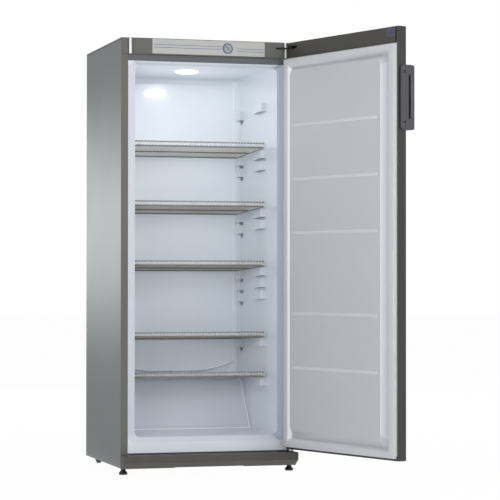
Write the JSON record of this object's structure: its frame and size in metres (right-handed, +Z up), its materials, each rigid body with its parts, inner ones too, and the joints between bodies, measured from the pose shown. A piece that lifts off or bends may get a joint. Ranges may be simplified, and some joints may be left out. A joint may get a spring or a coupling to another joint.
{
  "type": "commercial upright refrigerator",
  "caption": "Upright commercial refrigerator with a solid hinged door standing open, wire shelves, ceiling lamp, control panel, kickplate, rear condenser and compressor.",
  "frame": {"origin": "on the floor, midway across the cabinet, in the plane of its front flange", "axes": "+Z up, +X to the right seen from the front, +Y from the front towards the rear wall"},
  "size_m": [0.8237, 1.1555, 1.45],
  "materials": {
    "cabinet_steel": "silver-grey lacquer, satin",
    "cover_plastic": "dark grey moulding",
    "rear_steel": "bare galvanised sheet",
    "foam": "rigid foam, sealed in",
    "liner_plastic": "white moulding, soft gloss",
    "evaporator_aluminium": "bare plate, sealed in",
    "drain_plastic": "pale moulding",
    "hose_rubber": "ribbed black hose",
    "lamp_plastic": "white socket",
    "lamp_glass": "clear bulb",
    "lamp_cover_plastic": "translucent white dome",
    "rail_steel": "mid grey lacquer",
    "fascia_plastic": "fine-grained grey moulding",
    "plate_metal": "brushed plate, with printed lines",
    "thermostat_plastic": "pale body",
    "knob_plastic": "dark knob",
    "zinc_steel": "zinc-plated",
    "frame_steel": "dark grey lacquer",
    "kick_plastic": "dark grey moulding",
    "foot_plastic": "black moulding",
    "compressor_black": "black gloss lacquer",
    "mount_rubber": "black rubber",
    "box_plastic": "black moulding",
    "copper": "bare copper tube",
    "condenser_black": "black lacquered steel",
    "door_steel": "silver-grey lacquer, satin",
    "door_liner_plastic": "white moulding, soft gloss",
    "seal_rubber": "pale grey gasket",
    "cap_plastic": "dark grey moulding",
    "slot_cover_plastic": "blue-grey insert",
    "bush_plastic": "white bearing plastic",
    "handle_plastic": "dark grey moulding",
    "shelf_coating": "white plastic coating over steel wire"
  },
  "bodies": {
    "cabinet": {"side_panel_left": "cabinet_steel", "side_panel_right": "cabinet_steel", "top_cover": "cover_plastic", "rear_wall_panel": "rear_steel", "floor_pan": "rear_steel", "insulation": "foam", "inner_liner": "liner_plastic", "evaporator": "evaporator_aluminium", "drain_spout": "drain_plastic", "drain_hose": "hose_rubber", "lamp_holder": "lamp_plastic", "lamp_bulb": "lamp_glass", "lamp_cover": "lamp_cover_plastic", "header_rail": "rail_steel", "fascia": "fascia_plastic", "control_plate": "plate_metal", "thermostat": "thermostat_plastic", "top_hinge": "zinc_steel", "bottom_hinge": "zinc_steel", "hinge_screws": "zinc_steel", "roller_axles": "zinc_steel", "compressor_bolts": "zinc_steel", "base_frame": "frame_steel", "kickplate": "kick_plastic", "compressor": "compressor_black", "compressor_grommets": "mount_rubber", "terminal_box": "box_plastic", "evaporation_tray": "box_plastic", "condenser_clips": "box_plastic", "wall_stops": "box_plastic", "filter_drier": "copper", "refrigerant_pipes": "copper", "condenser_coil": "condenser_black", "condenser_wires": "condenser_black"},
    "door": {"door_skin": "door_steel", "door_foam": "foam", "door_liner": "door_liner_plastic", "door_gasket": "seal_rubber", "door_top_cap": "cap_plastic", "door_bottom_cap": "cap_plastic", "hinge_slot_cover": "slot_cover_plastic", "door_top_bush": "bush_plastic", "door_bottom_bush": "bush_plastic", "handle": "handle_plastic", "handle_screws": "zinc_steel"},
    "knob": {"control_knob": "knob_plastic"},
    "foot_left": {"front_foot_left": "foot_plastic"},
    "foot_right": {"front_foot_right": "foot_plastic"},
    "roller_left": {"rear_roller_left": "foot_plastic"},
    "roller_right": {"rear_roller_right": "foot_plastic"},
    "shelf_1_body": {"shelf_1": "shelf_coating"},
    "shelf_2_body": {"shelf_2": "shelf_coating"},
    "shelf_3_body": {"shelf_3": "shelf_coating"},
    "shelf_4_body": {"shelf_4": "shelf_coating"},
    "shelf_5_body": {"shelf_5": "shelf_coating"}
  },
  "joints": [
    {"name": "door_hinge", "type": "hinge", "parent": "cabinet", "child": "door", "pos_m": [0.283, -0.0275, 0.7], "axis": [0, 0, 1], "range_deg": [-108.5, 3.5]},
    {"name": "knob_turn", "type": "hinge", "parent": "cabinet", "child": "knob", "pos_m": [0.065, -0.01, 1.423], "axis": [0, 1, 0], "range_deg": [-30, 250]},
    {"name": "foot_left_screw", "type": "hinge", "parent": "cabinet", "child": "foot_left", "pos_m": [-0.288, 0.013, 0.02], "axis": [0, 0, 1], "continuous": true},
    {"name": "foot_right_screw", "type": "hinge", "parent": "cabinet", "child": "foot_right", "pos_m": [0.288, 0.013, 0.02], "axis": [0, 0, 1], "continuous": true},
    {"name": "roller_left_turn", "type": "hinge", "parent": "cabinet", "child": "roller_left", "pos_m": [-0.2715, 0.47, 0.016], "axis": [1, 0, 0], "continuous": true},
    {"name": "roller_right_turn", "type": "hinge", "parent": "cabinet", "child": "roller_right", "pos_m": [0.2715, 0.47, 0.016], "axis": [1, 0, 0], "continuous": true},
    {"name": "shelf_1_slide", "type": "slide", "parent": "cabinet", "child": "shelf_1_body", "axis": [0, -0.999, 0.0457], "range_m": [0, 0.3]},
    {"name": "shelf_2_slide", "type": "slide", "parent": "cabinet", "child": "shelf_2_body", "axis": [0, -0.999, 0.0457], "range_m": [0, 0.3]},
    {"name": "shelf_3_slide", "type": "slide", "parent": "cabinet", "child": "shelf_3_body", "axis": [0, -0.999, 0.0457], "range_m": [0, 0.3]},
    {"name": "shelf_4_slide", "type": "slide", "parent": "cabinet", "child": "shelf_4_body", "axis": [0, -0.999, 0.0457], "range_m": [0, 0.3]},
    {"name": "shelf_5_slide", "type": "slide", "parent": "cabinet", "child": "shelf_5_body", "axis": [0, -0.999, 0.0457], "range_m": [0, 0.3]}
  ]
}
